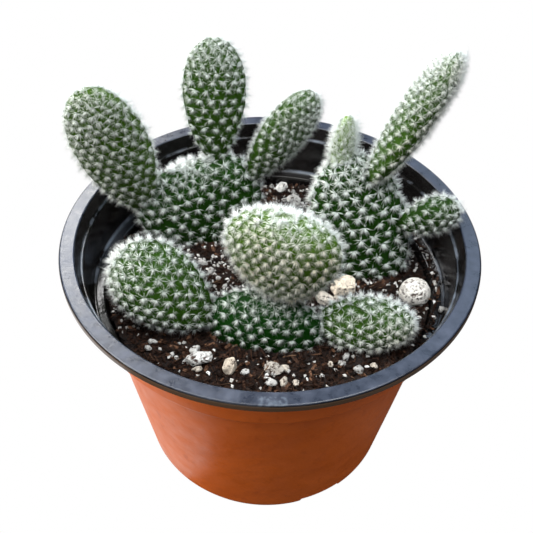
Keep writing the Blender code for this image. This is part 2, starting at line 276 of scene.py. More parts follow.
def black_plastic():
    """Satin black: scuffed grey on the rim's top with a painted bluish reflection, painted highlight bands along the
    ledges, brown down the lip.
    """
    finish, tree, shader, place = new_finish("black_plastic", 0.34)
    flat = add_node(tree, "ShaderNodeVectorMath", {0: place, 1: (1, 1, 0)}, operation="MULTIPLY")
    radius = add_node(tree, "ShaderNodeVectorMath", {0: flat.outputs[0]}, operation="LENGTH").outputs["Value"]
    height = add_node(tree, "ShaderNodeSeparateXYZ", {0: place}).outputs["Z"]
    on_rim = ramp(tree, height, POT_HEIGHT - 0.4 * MM, POT_HEIGHT - 0.1 * MM)
    on_lip = times(tree, ramp(tree, radius, RIM_RADIUS - 0.3 * MM, RIM_RADIUS - 0.1 * MM),
                   ramp(tree, height, POT_HEIGHT - 0.4 * MM, POT_HEIGHT - 0.7 * MM))
    scuffs = speckle(tree, place, 4 * MM, 9, 0.36, 0.70)
    blotches = speckle(tree, place, 7 * MM, 5, 0.42, 0.62)
    # The rim's top is a lighter bluish grey than the rest of the sheet: partly real scuffing, partly a painted
    # reflection of the lights and the bluish surround.
    rim = mix(tree, scuffs, (0.012, 0.016, 0.027), (0.037, 0.045, 0.068))
    rim = mix(tree, rubbed_patch(tree, place), rim, (0.065, 0.080, 0.105))
    body = mix(tree, blotches, (0.003, 0.0025, 0.0025), (0.008, 0.007, 0.007))
    # Pale bluish bands at the ledge edges are painted highlight, standing in for the glints that the rounded edges
    # catch.
    for ledge in LEDGE_EDGES:
        painted_glint_band = times(tree, ramp(tree, height, ledge - 0.6 * MM, ledge), ramp(tree, height, ledge + 0.6 * MM, ledge))
        body = mix(tree, times(tree, painted_glint_band, blotches), body, (0.10, 0.115, 0.14))
    plain = mix(tree, on_rim, body, rim)
    tree.links.new(mix(tree, on_lip, plain, (0.085, 0.052, 0.032)), shader.inputs["Base Color"])
    worn = add_node(tree, "ShaderNodeMapRange", {"Value": scuffs, "To Min": 0.26, "To Max": 0.38}).outputs[0]
    sleek = add_node(tree, "ShaderNodeMapRange", {"Value": blotches, "To Min": 0.14, "To Max": 0.26}).outputs[0]
    rough = add_node(tree, "ShaderNodeMix", {"Factor": on_rim, 2: sleek, 3: worn})
    tree.links.new(rough.outputs[0], shader.inputs["Roughness"])
    relief(tree, shader, speckle(tree, place, 1.5 * MM, 4), 0.02 * MM)
    return finish


def terracotta_plastic():
    """Orange-brown, a little mottled, with faint smudges and scratches from handling."""
    finish, tree, shader, place = new_finish("terracotta_plastic", 0.45)
    clouds = speckle(tree, place, 22 * MM, 4, 0.3, 0.7)
    smudges = speckle(tree, place, 3.5 * MM, 6, 0.58, 0.76, (1, 1, 0.6))
    plain = mix(tree, clouds, (0.61, 0.112, 0.010), (0.71, 0.139, 0.014))
    tree.links.new(mix(tree, smudges, plain, (0.57, 0.100, 0.010)), shader.inputs["Base Color"])
    worn = {"Value": speckle(tree, place, 6 * MM, 5), "To Min": 0.40, "To Max": 0.52}
    tree.links.new(add_node(tree, "ShaderNodeMapRange", worn).outputs[0], shader.inputs["Roughness"])
    relief(tree, shader, speckle(tree, place, 9 * MM, 3), 0.12 * MM)
    return finish


pot = turned("pot_shell", pot_section(), POT_STEPS)
pot.data.materials.append(black_plastic())
pot.data.materials.append(terracotta_plastic())
sheet = pot.modifiers.new("Sheet", "SOLIDIFY")
sheet.thickness = SHEET
sheet.offset = -1
sheet.use_even_offset = True
sheet.material_offset = 1
sheet.material_offset_rim = 1
notch_cutters = [notch_cutter(notch, place) for place in range(NOTCHES_EACH) for notch in NOTCHES]
for cutter in notch_cutters:
    cut = pot.modifiers.new("Drain notch", "BOOLEAN")
    cut.operation = "DIFFERENCE"
    cut.solver = "MANIFOLD"
    cut.object = cutter
settle(pot, 30)
for cutter in notch_cutters:
    bpy.data.objects.remove(cutter)
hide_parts("pot")
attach(pot, "root")

# The soil is bark fines and peat that the roots hold together, a little below the pot's lower ledge. Its top
# tilts, bulges and has mounds. Here it is turned like the pot, and its top is raised by the same rule as the solid's.
GAP = 0.3 * MM
SOIL_LEVEL = 71.6 * MM
SOIL_RINGS = 90
SOIL_STEPS = 240
SOIL_TILT_X = -0.9 * MM
SOIL_TILT_Y = -1.0 * MM
SOIL_DOME = 0.7 * MM
MOUND_HEIGHT = 0.9 * MM
MOUND_WIDTH = 26 * MM
LUMP_HEIGHT = 1.6 * MM
LUMP_WIDTH = 4 * MM
CRUMB_HEIGHT = 0.5 * MM
CRUMB_WIDTH = 1.1 * MM


def soil_height(x, y):
    """Height of the soil's top without its lumps: higher at the front left, lower towards the wall."""
    out = hypot(x, y) / WALL_AT_LEDGE
    slope = (SOIL_TILT_X * x + SOIL_TILT_Y * y) / WALL_AT_LEDGE
    mound = MOUND_HEIGHT * noise.noise(Vector((x, y, 0)) / MOUND_WIDTH)
    return SOIL_LEVEL + slope + mound + SOIL_DOME * (1 - out ** 4)


def rough_height(x, y):
    """Height of the soil's top with its lumps and crumbs."""
    lump = LUMP_HEIGHT * noise.noise(Vector((x, y, MOUND_WIDTH)) / LUMP_WIDTH)
    crumb = CRUMB_HEIGHT * noise.noise(Vector((x, y, LUMP_WIDTH)) / CRUMB_WIDTH)
    return soil_height(x, y) + lump + crumb


def soil_section():
    edge = wall_radius(SOIL_LEVEL - 1.6 * MM) - GAP
    floor = BASE_RISE + SHEET + GAP
    above_foot = 8.5 * MM
    top = [(edge * ring / SOIL_RINGS, SOIL_LEVEL) for ring in range(SOIL_RINGS + 1)]
    return top + [
        (wall_radius(WALL_MIDDLE) - GAP, WALL_MIDDLE),
        (wall_radius(above_foot) - 2 * GAP, above_foot),
        (FOOT_INNER + 3 * MM, floor + 0.2 * MM),
        (0, floor),
    ]


def moist_peat():
    finish, tree, shader, place = new_finish("moist_peat", 0.9)
    grains = speckle(tree, place, 0.7 * MM, 5, 0.4, 0.65)
    clods = speckle(tree, place, 5 * MM, 4, 0.4, 0.65)
    dark = mix(tree, clods, (0.002, 0.001, 0.0008), (0.006, 0.003, 0.002))
    tree.links.new(mix(tree, grains, dark, (0.016, 0.007, 0.005)), shader.inputs["Base Color"])
    shader.inputs["Specular IOR Level"].default_value = 0.3
    relief(tree, shader, speckle(tree, place, 0.5 * MM, 5), 0.3 * MM)
    return finish


soil = turned("soil_body", soil_section(), SOIL_STEPS)
soil.data.materials.append(moist_peat())
settle(soil)
for vertex in soil.data.vertices:
    if abs(vertex.co.z - SOIL_LEVEL) < GAP:
        vertex.co.z = rough_height(vertex.co.x, vertex.co.y)
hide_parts("soil")
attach(soil, "root")

# The plants are flat jointed stems. Each pad is one egg-shaped segment that grew out of the edge of an older
# one, matt green skin over wet flesh. Small swellings in slanting rows carry the areoles.
# Each skin is a fine closed net on the same egg as its solid, swollen at its areoles.
SKIN_STEP = 0.6 * MM
SWELLING = 0.32 * MM
SWELLING_WIDTH = 1.25 * MM
ROW_SHARE = 0.87
ROW_TURN = 0.53
AREOLE_STRAY = 0.12


class Pad(NamedTuple):
    """A flat stem segment, with sizes in mm and angles in degrees, as its solid has them.

    Gap is the distance between its areoles and crowd how much closer they stand at its tip. Bristle is the
    length of its bristles, stout their relative thickness, droop how far they hang, and cream how yellowish
    they are. Young is how light and yellow its green is.
    """
    name: str
    base: tuple
    length: float
    width: float
    thick: float
    lean: float
    toward: float
    turn: float
    widest: float
    blunt: float
    gap: float
    crowd: float
    bristle: float
    stout: float
    droop: float
    cream: float
    young: float


PADS = [
    Pad("back_pad_base", (-17.5, 22.0, 63.0), 38.0, 42.5, 15.0, 18, 162, -57, 0.62, 2.4,
        gap=4.9, crowd=0.4, bristle=2.8, stout=1.05, droop=0.45, cream=0.0, young=0.1),
    Pad("back_pad_left", (-42.5, 20.0, 84.0), 52.0, 23.5, 12.0, 16, 200, -100, 0.58, 2.0,
        gap=3.9, crowd=0.7, bristle=2.5, stout=0.82, droop=0.3, cream=0.2, young=0.55),
    Pad("back_pad_middle", (-19.0, 27.5, 99.0), 41.5, 20.0, 11.0, 14, 90, 5, 0.60, 2.0,
        gap=4.0, crowd=0.8, bristle=2.4, stout=0.8, droop=0.35, cream=0.0, young=0.28),
    Pad("back_pad_right", (-8.0, 28.0, 91.5), 38.0, 17.5, 11.0, 35, 18, -75, 0.60, 2.0,
        gap=3.4, crowd=0.6, bristle=2.3, stout=0.65, droop=0.3, cream=0.1, young=0.32),
    Pad("right_pad_base", (35.5, 7.5, 62.0), 51.5, 31.5, 16.0, 18, 143, -44, 0.45, 2.2,
        gap=4.8, crowd=0.5, bristle=2.9, stout=1.5, droop=0.5, cream=0.0, young=0.1),
    Pad("right_pad_bud", (21.0, 17.5, 99.0), 25.5, 7.5, 7.0, 5, 40, -68, 0.45, 2.2,
        gap=2.5, crowd=0.5, bristle=3.0, stout=0.6, droop=0.1, cream=0.1, young=1.5),
    Pad("right_pad_long", (31.0, 12.5, 105.0), 47.0, 20.0, 11.0, 30, 24, -31, 0.57, 2.4,
        gap=3.5, crowd=1.2, bristle=2.3, stout=0.62, droop=0.2, cream=0.45, young=0.35),
    Pad("right_pad_side", (41.0, 9.5, 89.0), 21.0, 13.5, 9.5, 60, -7, -80, 0.62, 2.0,
        gap=3.7, crowd=0.5, bristle=2.4, stout=0.75, droop=0.3, cream=0.0, young=0.15),
    Pad("front_pad_base", (-2.5, -24.0, 62.0), 25.5, 37.0, 16.0, 8, 31, 52, 0.50, 2.2,
        gap=4.4, crowd=0.4, bristle=2.5, stout=0.66, droop=0.65, cream=0.0, young=0.0),
    Pad("front_pad_left", (-17.5, -23.5, 76.5), 35.5, 24.5, 15.0, 57, 162, -48, 0.60, 2.0,
        gap=3.9, crowd=0.4, bristle=2.7, stout=0.8, droop=0.5, cream=0.1, young=0.25),
    Pad("front_pad_top", (3.5, -19.5, 82.5), 35.0, 34.0, 16.0, 2, 273, -20, 0.68, 2.2,
        gap=4.0, crowd=0.5, bristle=2.8, stout=0.8, droop=0.6, cream=0.7, young=0.75),
    Pad("front_pad_right", (15.0, -22.5, 77.0), 29.5, 16.5, 14.0, 85, -4, 40, 0.50, 2.0,
        gap=3.5, crowd=0.4, bristle=2.6, stout=0.95, droop=0.4, cream=0.4, young=0.3),
]


def pad_matrix(pad):
    """Local +Z is the long axis, +Y the width and +X the thickness."""
    swing = Matrix.Rotation(radians(pad.toward), 4, "Z") @ Matrix.Rotation(radians(pad.lean), 4, "Y")
    return Matrix.Translation(Vector(pad.base) * MM) @ swing @ Matrix.Rotation(radians(pad.turn), 4, "Z")


def half_outline(pad, share):
    """Half the pad's breadth at a share of its length, as a part of its greatest half breadth."""
    shifted = share ** (log(0.5) / log(pad.widest))
    return max(0.0, 1 - abs(2 * shifted - 1) ** pad.blunt) ** (1 / pad.blunt)


def skin_point(pad, share, angle):
    """A point of the pad's plain skin in its own axes, at a share of its length and an angle around it."""
    reach = half_outline(pad, share)
    return Vector((
        pad.thick * MM / 2 * reach * cos(angle),
        pad.width * MM / 2 * reach * sin(angle),
        pad.length * MM * share,
    ))


def skin_normal(pad, share, angle):
    step = 0.004
    low, high = max(share - step, 0), min(share + step, 1)
    along = skin_point(pad, high, angle) - skin_point(pad, low, angle)
    around = skin_point(pad, share, angle + step) - skin_point(pad, share, angle - step)
    return around.cross(along).normalized()


def inside_pad(pad, point):
    """True where a point in the world lies in the pad's plain body."""
    local = pad_matrix(pad).inverted() @ point
    share = local.z / (pad.length * MM)
    if not 0 < share < 1:
        return False
    reach = half_outline(pad, share) * MM / 2
    return hypot(local.x / (pad.thick * reach), local.y / (pad.width * reach)) < 1


def areole_places(pad):
    """Shares and angles of the areoles: rings a row apart, each turned half a step against the last one."""
    shares = np.linspace(0, 1, 400)
    angles = np.linspace(0, 2 * pi, 721)
    reach = np.array([half_outline(pad, share) for share in shares])
    around = np.hypot(pad.thick / 2 * np.sin(angles), pad.width / 2 * np.cos(angles))
    arc = np.concatenate([[0], np.cumsum((around[1:] + around[:-1]) / 2 * np.diff(angles))])
    slant = np.hypot(pad.length * np.diff(shares), (pad.thick + pad.width) / 4 * np.diff(reach))
    crowding = 1 + pad.crowd * shares ** 3
    rows = np.concatenate([[0], np.cumsum(slant * crowding[1:])]) / (ROW_SHARE * pad.gap)
    faces_viewer = pad_matrix(pad).to_3x3() @ Vector((1, 0, 0))
    middle_of_face = 0.0 if faces_viewer.z > faces_viewer.y else 0.5
    places = []
    for row in range(int(rows[-1])):
        share = np.interp(row + 0.5, rows, shares)
        girth = arc[-1] * half_outline(pad, share) * (1 + pad.crowd * share ** 3)
        count = max(3, round(girth / pad.gap))
        for column in range(count):
            stray = noise.noise_vector(Vector((row, column, pad.length)) * 0.73) * AREOLE_STRAY
            along = (column + row * ROW_TURN + stray.x) / count + middle_of_face
            nudged = share + stray.y * pad.gap / pad.length
            places.append((min(max(nudged, 0.004), 0.996), np.interp(along % 1 * arc[-1], arc, angles)))
    places.append((0.996, 0.0))
    return places


def skin_mesh(pad, areoles):
    """A closed net of rings and columns over the pad, swollen round each areole."""
    columns = round(pi * (pad.thick + pad.width) / 2 * MM / SKIN_STEP)
    rings = round(1.3 * pad.length * MM / SKIN_STEP)
    finder = kdtree.KDTree(len(areoles))
    for index, (share, angle) in enumerate(areoles):
        finder.insert(skin_point(pad, share, angle), index)
    finder.balance()

    def swollen(share, angle):
        point = skin_point(pad, share, angle)
        away = finder.find(point)[2] / SWELLING_WIDTH
        lift = SWELLING * (2.718 ** -(away * away) - 0.35)
        return point + skin_normal(pad, min(max(share, 0.002), 0.998), angle) * lift

    shape = bmesh.new()
    bottom = shape.verts.new(skin_point(pad, 0, 0))
    top = shape.verts.new(skin_point(pad, 1, 0))
    net = []
    for ring in range(rings):
        share = (1 - cos(pi * (ring + 1) / (rings + 1))) / 2
        net.append([shape.verts.new(swollen(share, 2 * pi * column / columns)) for column in range(columns)])
    for column in range(columns):
        after = (column + 1) % columns
        shape.faces.new((bottom, net[0][after], net[0][column]))
        shape.faces.new((top, net[-1][column], net[-1][after]))
        for lower, upper in zip(net, net[1:]):
            shape.faces.new((lower[column], lower[after], upper[after], upper[column]))
    bmesh.ops.recalc_face_normals(shape, faces=shape.faces)
    mesh = mesh_from(shape, pad.name + "_skin")
    mesh.transform(pad_matrix(pad))
    return mesh


def pad_skin(pad):
    """Matt green skin: yellower on young pads, mottled, and paler in fine specks."""
    finish, tree, shader, place = new_finish(pad.name + "_skin", 0.55)
    old = np.array((0.002, 0.020, 0.001))
    fresh = np.array((0.085, 0.158, 0.012))
    dark = old + (fresh - old) * pad.young * 0.55
    pale = dark * 1.6
    clouds = speckle(tree, place, 6 * MM, 3, 0.3, 0.7)
    grain = speckle(tree, place, 0.9 * MM, 3, 0.45, 0.75)
    plain = mix(tree, clouds, tuple(dark * 0.8), tuple(dark * 1.3))
    tree.links.new(mix(tree, grain, plain, tuple(pale)), shader.inputs["Base Color"])
    shader.inputs["Specular IOR Level"].default_value = 0.06
    shader.inputs["Subsurface Weight"].default_value = 0.15
    shader.inputs["Subsurface Radius"].default_value = (0.4, 1.0, 0.2)
    shader.inputs["Subsurface Scale"].default_value = 1 * MM
    relief(tree, shader, speckle(tree, place, 0.4 * MM, 3), 0.05 * MM)
    return finish


areoles = {pad.name: areole_places(pad) for pad in PADS}
for pad in PADS:
    skin = add_piece(pad.name + "_skin", skin_mesh(pad, areoles[pad.name]), pad_skin(pad))
    skin.data.shade_smooth()
    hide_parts(pad.name)
    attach(skin, "root")

# Each areole is a speck of wool with a burst of stiff white bristles: thick ones that lie out to the sides like a
# star, and fine ones that stand up and make the pad's halo. Each is a thin three-sided spike, rooted in the skin.
SKIN_DEPTH = 0.15 * MM


class Layer(NamedTuple):
    """One kind of spike in a tuft: how many, its length as a part of the bristles', its radius in mm.

    It leans from the skin's normal by an angle in radians, and its root stands off the areole's middle in mm.
    """
    name: str
    count: int
    length: float
    radius: float
    least_lean: float
    most_lean: float
    spread: float
    seed: int


TUFT_LAYERS = [
    Layer("wool", 10, 0.3, 0.11, 0.0, 1.3, 0.22, 10),
    Layer("star", 14, 1.15, 0.095, 0.9, 1.5, 0.12, 20),
    Layer("halo", 32, 1.2, 0.065, 0.0, 0.85, 0.16, 30),
    Layer("fuzz", 14, 0.8, 0.05, 0.4, 1.4, 0.2, 40),
]


def white_bristle():
    """Clear to white horn, with a cream cast on some areoles."""
    finish, tree, shader, place = new_finish("white_bristle", 0.5)
    cream = add_node(tree, "ShaderNodeAttribute", attribute_name="cream").outputs["Fac"]
    tone = add_node(tree, "ShaderNodeAttribute", attribute_name="tone").outputs["Fac"]
    white = mix(tree, tone, (0.70, 0.77, 0.73), (0.83, 0.90, 0.86))
    tree.links.new(mix(tree, cream, white, (0.84, 0.77, 0.58)), shader.inputs["Base Color"])
    shader.inputs["Subsurface Weight"].default_value = 0.7
    shader.inputs["Subsurface Radius"].default_value = (1, 1, 1)
    shader.inputs["Subsurface Scale"].default_value = 0.3 * MM
    return finish


def group_inputs(tree, wanted):
    """Gives a tree its named inputs, and returns their sockets inside it and their identifiers by name."""
    tree.interface.new_socket("Geometry", in_out="INPUT", socket_type="NodeSocketGeometry")
    tree.interface.new_socket("Geometry", in_out="OUTPUT", socket_type="NodeSocketGeometry")
    names = {name: tree.interface.new_socket(name, in_out="INPUT", socket_type="NodeSocket" + kind).identifier
             for name, kind in wanted.items()}
    inside = tree.nodes.new("NodeGroupInput").outputs
    return inside, names


def attribute(tree, name, kind):
    return add_node(tree, "GeometryNodeInputNamedAttribute", {"Name": name}, data_type=kind).outputs["Attribute"]


def random_number(tree, low, high, seed):
    inputs = {2: low, 3: high, "Seed": seed}
    return add_node(tree, "FunctionNodeRandomValue", inputs, data_type="FLOAT").outputs[1]


def vector_math(tree, operation, first, second):
    return add_node(tree, "ShaderNodeVectorMath", {0: first, 1: second}, operation=operation).outputs[0]


def scaled(tree, vector, factor):
    return add_node(tree, "ShaderNodeVectorMath", {0: vector, "Scale": factor}, operation="SCALE").outputs[0]


def strand_layer(tree, points, layer, length, width, droop):
    """Spikes at each areole that lean away from its normal by a random angle, at any turn around it."""
    facing = attribute(tree, "facing", "FLOAT_VECTOR")
    downhill = attribute(tree, "downhill", "FLOAT_VECTOR")
    size = attribute(tree, "size", "FLOAT")
    amount = {"Geometry": points, "Amount": layer.count}
    many = add_node(tree, "GeometryNodeDuplicateElements", amount, domain="POINT")
    anywhere = {0: (-1, -1, -1), 1: (1, 1, 1), "Seed": layer.seed}
    stray = add_node(tree, "FunctionNodeRandomValue", anywhere, data_type="FLOAT_VECTOR").outputs[0]
    sideways = add_node(tree, "ShaderNodeVectorMath",
                        {0: vector_math(tree, "CROSS_PRODUCT", facing, stray)}, operation="NORMALIZE").outputs[0]
    lean = random_number(tree, layer.least_lean, layer.most_lean, layer.seed + 1)
    up_part = add_node(tree, "ShaderNodeMath", {0: lean}, operation="COSINE").outputs[0]
    side_part = add_node(tree, "ShaderNodeMath", {0: lean}, operation="SINE").outputs[0]
    spread_out = vector_math(tree, "ADD", scaled(tree, facing, up_part), scaled(tree, sideways, side_part))
    direction = vector_math(tree, "ADD", spread_out, scaled(tree, downhill, droop))
    outward = scaled(tree, sideways, random_number(tree, 0.0, layer.spread * MM, layer.seed + 2))
    root = vector_math(tree, "SUBTRACT", outward, scaled(tree, facing, SKIN_DEPTH))
    rooted = add_node(tree, "GeometryNodeSetPosition", {"Geometry": many.outputs["Geometry"], "Offset": root})
    full_length = times(tree, length, layer.length)
    spike = add_node(tree, "GeometryNodeMeshCone", {
        "Vertices": 3, "Radius Top": 0.0, "Radius Bottom": layer.radius * MM, "Depth": full_length})
    share = random_number(tree, 0.65, 1.0, layer.seed + 3)
    sizes = {"X": width, "Y": width, "Z": times(tree, size, share)}
    scale = add_node(tree, "ShaderNodeCombineXYZ", sizes).outputs[0]
    turn = add_node(tree, "FunctionNodeAlignRotationToVector", {"Vector": direction}, axis="Z").outputs[0]
    placed = add_node(tree, "GeometryNodeInstanceOnPoints", {
        "Points": rooted.outputs[0], "Instance": spike.outputs["Mesh"], "Rotation": turn, "Scale": scale})
    toned = add_node(tree, "GeometryNodeStoreNamedAttribute", {
        "Geometry": placed.outputs[0], "Name": "tone", "Value": random_number(tree, 0.0, 1.0, layer.seed + 4)},
        data_type="FLOAT", domain="INSTANCE")
    return toned.outputs[0]


def tuft_tree(finish):
    """The tree that puts the layers of spikes on areole points."""
    tree = bpy.data.node_groups.new("areole_tufts", "GeometryNodeTree")
    inside, names = group_inputs(tree, {"Bristle length": "Float", "Bristle width": "Float", "Droop": "Float"})
    points = add_node(tree, "GeometryNodeMeshToPoints", {"Mesh": inside["Geometry"]}).outputs[0]
    both = add_node(tree, "GeometryNodeJoinGeometry")
    for layer in TUFT_LAYERS:
        strands = strand_layer(
            tree, points, layer, inside["Bristle length"], inside["Bristle width"], inside["Droop"])
        tree.links.new(strands, both.inputs[0])
    real = add_node(tree, "GeometryNodeRealizeInstances", {"Geometry": both.outputs[0]})
    finished = add_node(tree, "GeometryNodeSetMaterial", {"Geometry": real.outputs[0], "Material": finish})
    add_node(tree, "NodeGroupOutput", {0: finished.outputs[0]})
    return tree, names


def areole_points(pad):
    """A mesh of loose points at the areoles that show, each with its facing, size and cream share."""
    world = pad_matrix(pad)
    turn = world.to_3x3()
    points, facings, downhills, sizes, creams = [], [], [], [], []
    for share, angle in areoles[pad.name]:
        point = world @ skin_point(pad, share, angle)
        facing = turn @ skin_normal(pad, share, angle)
        if point.z < rough_height(point.x, point.y) - 0.3 * MM:
            continue
        if any(other is not pad and inside_pad(other, point + facing * 0.3 * MM) for other in PADS):
            continue
        patch = noise.noise(point / (12 * MM))
        towards_front = max(0.0, -1.4 * facing.y - 0.3)
        points.append(point)
        facings.append(facing)
        downhills.append(facing * facing.z - Vector((0, 0, 1)))
        sizes.append(1 + 0.25 * noise.noise(point / (3 * MM)))
        creams.append(min(1.0, max(0.0, pad.cream * towards_front * (0.9 + patch))))
    mesh = bpy.data.meshes.new(pad.name + "_areoles")
    mesh.from_pydata(points, [], [])
    mesh.attributes.new("facing", "FLOAT_VECTOR", "POINT").data.foreach_set("vector", np.ravel(facings))
    mesh.attributes.new("downhill", "FLOAT_VECTOR", "POINT").data.foreach_set("vector", np.ravel(downhills))
    mesh.attributes.new("size", "FLOAT", "POINT").data.foreach_set("value", sizes)
    mesh.attributes.new("cream", "FLOAT", "POINT").data.foreach_set("value", creams)
    return mesh


tufts_on, tuft_inputs = tuft_tree(white_bristle())
for pad in PADS:
    tufts = add_piece(pad.name + "_tufts", areole_points(pad))
    grown = tufts.modifiers.new("Tufts", "NODES")
    grown.node_group = tufts_on
    grown[tuft_inputs["Bristle length"]] = pad.bristle * MM
    grown[tuft_inputs["Bristle width"]] = pad.stout
    grown[tuft_inputs["Droop"]] = pad.droop
    settle(tufts)
    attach(tufts, "root")
    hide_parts(pad.name)

# The soil's surface is loose: bark slivers and chips, peat fibres, and perlite, a white popped glass.
# They are scattered over the soil's top, lie at all angles, and each is bent by a noise of its own.
SLIVERS = 6500
FIBRES = 1300
PERLITE = 300
CRUMB_DENT = 0.4
CHALKY_FROM = -24 * MM
CHALKIER = 7
SOIL_EDGE = wall_radius(SOIL_LEVEL) - 1.0 * MM
LEDGE_LITTER = (-52, 62)
LEDGE_LITTER_INNER = WALL_AT_LEDGE + 0.6 * MM
LEDGE_LITTER_OUTER = WALL_AT_LEDGE + 2.0 * MM
LEDGE_TOP = LEDGE_HEIGHT + 0.7 * MM


def soil_top():
    """The soil's top as an open net, with shares that are 0 where a pad covers it, and more where it is chalky."""
    rings, steps = 60, 120
    shape = bmesh.new()
    middle = shape.verts.new((0, 0, 0))
    net = []
    for ring in range(1, rings + 1):
        radius = SOIL_EDGE * ring / rings
        net.append([shape.verts.new((radius * cos(2 * pi * step / steps), radius * sin(2 * pi * step / steps), 0))
                    for step in range(steps)])
    for step in range(steps):
        after = (step + 1) % steps
        shape.faces.new((middle, net[0][step], net[0][after]))
        for lower, upper in zip(net, net[1:]):
            shape.faces.new((lower[step], upper[step], upper[after], lower[after]))
    for vertex in shape.verts:
        vertex.co.z = rough_height(vertex.co.x, vertex.co.y)
    spilled = []
    for degrees in range(*LEDGE_LITTER, 3):
        ray = Vector((cos(radians(degrees)), sin(radians(degrees)), 0))
        spilled.append([shape.verts.new(ray * radius + Vector((0, 0, LEDGE_TOP + 0.5 * MM)))
                        for radius in (LEDGE_LITTER_INNER, LEDGE_LITTER_OUTER)])
    for first, second in zip(spilled, spilled[1:]):
        shape.faces.new((first[0], first[1], second[1], second[0]))
    bare = np.array([not any(inside_pad(pad, vertex.co) for pad in PADS) for vertex in shape.verts], dtype=float)
    behind = np.array([vertex.co.y > CHALKY_FROM for vertex in shape.verts], dtype=float)
    mesh = mesh_from(shape, "soil_top")
    mesh.attributes.new("bare", "FLOAT", "POINT").data.foreach_set("value", bare)
    mesh.attributes.new("chalky", "FLOAT", "POINT").data.foreach_set("value", bare * (1 + CHALKIER * behind))
    return mesh


def litter_tree(name, finish, grain, where, seed):
    """Scatters one kind of grain over the soil's top, and gives each grain its own bends."""
    tree = bpy.data.node_groups.new(name, "GeometryNodeTree")
    wanted = {"Density": "Float", "Smallest": "Vector", "Largest": "Vector", "Tilt": "Float", "Bend": "Float",
              "Bend width": "Float", "Lift": "Float"}
    inside, names = group_inputs(tree, wanted)
    spots = add_node(tree, "GeometryNodeDistributePointsOnFaces", {
        "Mesh": inside["Geometry"], "Density": inside["Density"], "Seed": seed})
    share_here = attribute(tree, where, "FLOAT")
    density = add_node(tree, "ShaderNodeMath", {0: inside["Density"], 1: share_here}, operation="MULTIPLY")
    tree.links.new(density.outputs[0], spots.inputs["Density"])
    low = vector_math(tree, "MULTIPLY", inside["Tilt"], (-1, -1, 0))
    high = vector_math(tree, "MULTIPLY", inside["Tilt"], (1, 1, 0))
    spin_low = vector_math(tree, "ADD", low, (0, 0, -pi))
    spin_high = vector_math(tree, "ADD", high, (0, 0, pi))
    spin = add_node(tree, "FunctionNodeRandomValue",
                    {0: spin_low, 1: spin_high, "Seed": seed + 1}, data_type="FLOAT_VECTOR").outputs[0]
    # Cubing a random share makes most grains small and a few large
    share = random_number(tree, 0.0, 1.0, seed + 2)
    rare = add_node(tree, "ShaderNodeMath", {0: share, 1: 2.2}, operation="POWER").outputs[0]
    size = add_node(tree, "ShaderNodeMix", data_type="VECTOR")
    vectors = [socket for socket in size.inputs if socket.type == "VECTOR"]
    tree.links.new(rare, size.inputs["Factor"])
    tree.links.new(inside["Smallest"], vectors[0])
    tree.links.new(inside["Largest"], vectors[1])
    grown = next(socket for socket in size.outputs if socket.type == "VECTOR")
    placed = add_node(tree, "GeometryNodeInstanceOnPoints", {
        "Points": spots.outputs["Points"], "Instance": grain(tree), "Rotation": spin, "Scale": grown})
    toned = add_node(tree, "GeometryNodeStoreNamedAttribute", {
        "Geometry": placed.outputs[0], "Name": "tone", "Value": random_number(tree, 0.0, 1.0, seed + 3)},
        data_type="FLOAT", domain="INSTANCE")
    real = add_node(tree, "GeometryNodeRealizeInstances", {"Geometry": toned.outputs[0]})
    place = add_node(tree, "GeometryNodeInputPosition").outputs[0]
    per_metre = add_node(tree, "ShaderNodeMath", {0: 1.0, 1: inside["Bend width"]}, operation="DIVIDE").outputs[0]
    waves = add_node(tree, "ShaderNodeTexNoise", {"Vector": place, "Scale": per_metre, "Detail": 1.0})
    centred = vector_math(tree, "SUBTRACT", waves.outputs["Color"], (0.5, 0.5, 0.5))
    lift = add_node(tree, "ShaderNodeCombineXYZ", {"Z": inside["Lift"]}).outputs[0]
    offset = vector_math(tree, "ADD", scaled(tree, centred, inside["Bend"]), lift)
    bent = add_node(tree, "GeometryNodeSetPosition", {"Geometry": real.outputs[0], "Offset": offset})
    finished = add_node(tree, "GeometryNodeSetMaterial", {"Geometry": bent.outputs[0], "Material": finish})
    add_node(tree, "NodeGroupOutput", {0: finished.outputs[0]})
    return tree, names


def keep_inside(mesh):
    """Pulls what would reach through the pot's sheet back inside it, and lifts what lies in the ledge."""
    flat = np.empty(len(mesh.vertices) * 3, dtype=np.float32)
    mesh.vertices.foreach_get("co", flat)
    points = flat.reshape(-1, 3)
    out = np.hypot(points[:, 0], points[:, 1])
    over_wall = out > WALL_AT_LEDGE
    above = points[:, 2] > LEDGE_TOP - 0.8 * MM
    wall = wall_radius(np.minimum(points[:, 2], LEDGE_HEIGHT)) - 0.1 * MM
    limit = np.where(above, WALL_AT_LEDGE + 2.8 * MM, wall)
    points[:, :2] *= np.minimum(1, limit / np.maximum(out, MM))[:, None]
    points[:, 2] = np.where(over_wall & above, np.maximum(points[:, 2], LEDGE_TOP), points[:, 2])
    mesh.vertices.foreach_set("co", points.ravel())


def sliver_grain(tree):
    return add_node(tree, "GeometryNodeMeshCube", {"Vertices X": 3}).outputs["Mesh"]


def fibre_grain(tree):
    return add_node(tree, "GeometryNodeMeshCube", {"Vertices X": 6}).outputs["Mesh"]


def crumb_grain(tree):
    """A ball of twenty faces with its corners pushed in and out."""
    ball = add_node(tree, "GeometryNodeMeshIcoSphere", {"Subdivisions": 1}).outputs["Mesh"]
    least = (-CRUMB_DENT, -CRUMB_DENT, -CRUMB_DENT)
    most = (CRUMB_DENT, CRUMB_DENT, CRUMB_DENT)
    dents = add_node(tree, "FunctionNodeRandomValue", {"Min": least, "Max": most, "Seed": 12},
                     data_type="FLOAT_VECTOR").outputs["Value"]
    return add_node(tree, "GeometryNodeSetPosition", {"Geometry": ball, "Offset": dents}).outputs["Geometry"]


